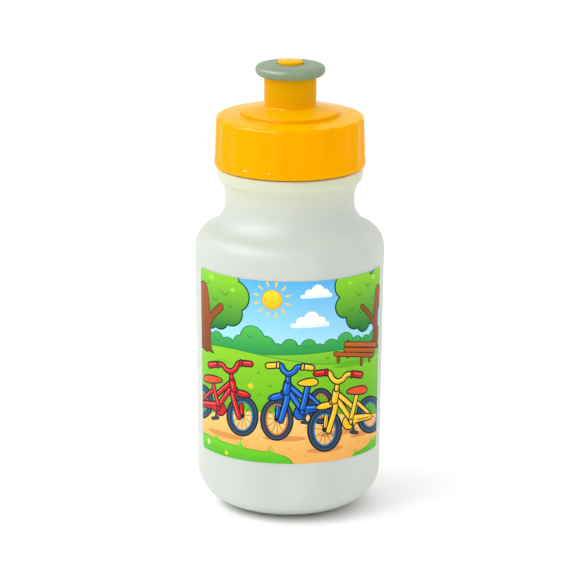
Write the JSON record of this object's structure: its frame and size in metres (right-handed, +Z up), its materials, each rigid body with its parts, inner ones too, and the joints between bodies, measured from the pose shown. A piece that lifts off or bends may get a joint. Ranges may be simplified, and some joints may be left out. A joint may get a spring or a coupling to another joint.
{
  "type": "kids squeeze water bottle",
  "caption": "Small translucent squeeze bottle with a finger waist, printed picture label, fluted screw lid and push-pull drinking valve.",
  "frame": {"origin": "middle of the ring that the bottle stands on, at floor level", "axes": "+Z up along the bottle's axis, -Y towards the middle of the label"},
  "size_m": [0.0648, 0.0649, 0.1564],
  "materials": {
    "milky_plastic": "natural translucent polyethylene, satin",
    "printed_film": "printed plastic film, satin",
    "yellow_plastic": "moulded polypropylene, semi-gloss",
    "seal_foam": "soft white sealing material",
    "grey_plastic": "soft-touch plastic, satin"
  },
  "bodies": {
    "bottle": {"bottle": "milky_plastic", "label": "printed_film"},
    "seal": {"sealing_ring": "seal_foam"},
    "lid": {"screw_lid": "yellow_plastic"},
    "mouthpiece": {"mouthpiece": "grey_plastic"}
  },
  "joints": [
    {"name": "lid_lift", "type": "slide", "parent": "bottle", "child": "seal", "axis": [0, 0, 1], "range_m": [0, 0.016]},
    {"name": "lid_turn", "type": "hinge", "parent": "seal", "child": "lid", "pos_m": [0, 0, 0.135], "axis": [0, 0, 1], "range_deg": [0, 1150]},
    {"name": "mouthpiece_pull", "type": "slide", "parent": "lid", "child": "mouthpiece", "axis": [0, 0, 1], "range_m": [0, 0.005]}
  ],
  "couplings": [
    {"joint": "lid_lift", "follows": "lid_turn", "m_per_rad": 0.00079577}
  ]
}
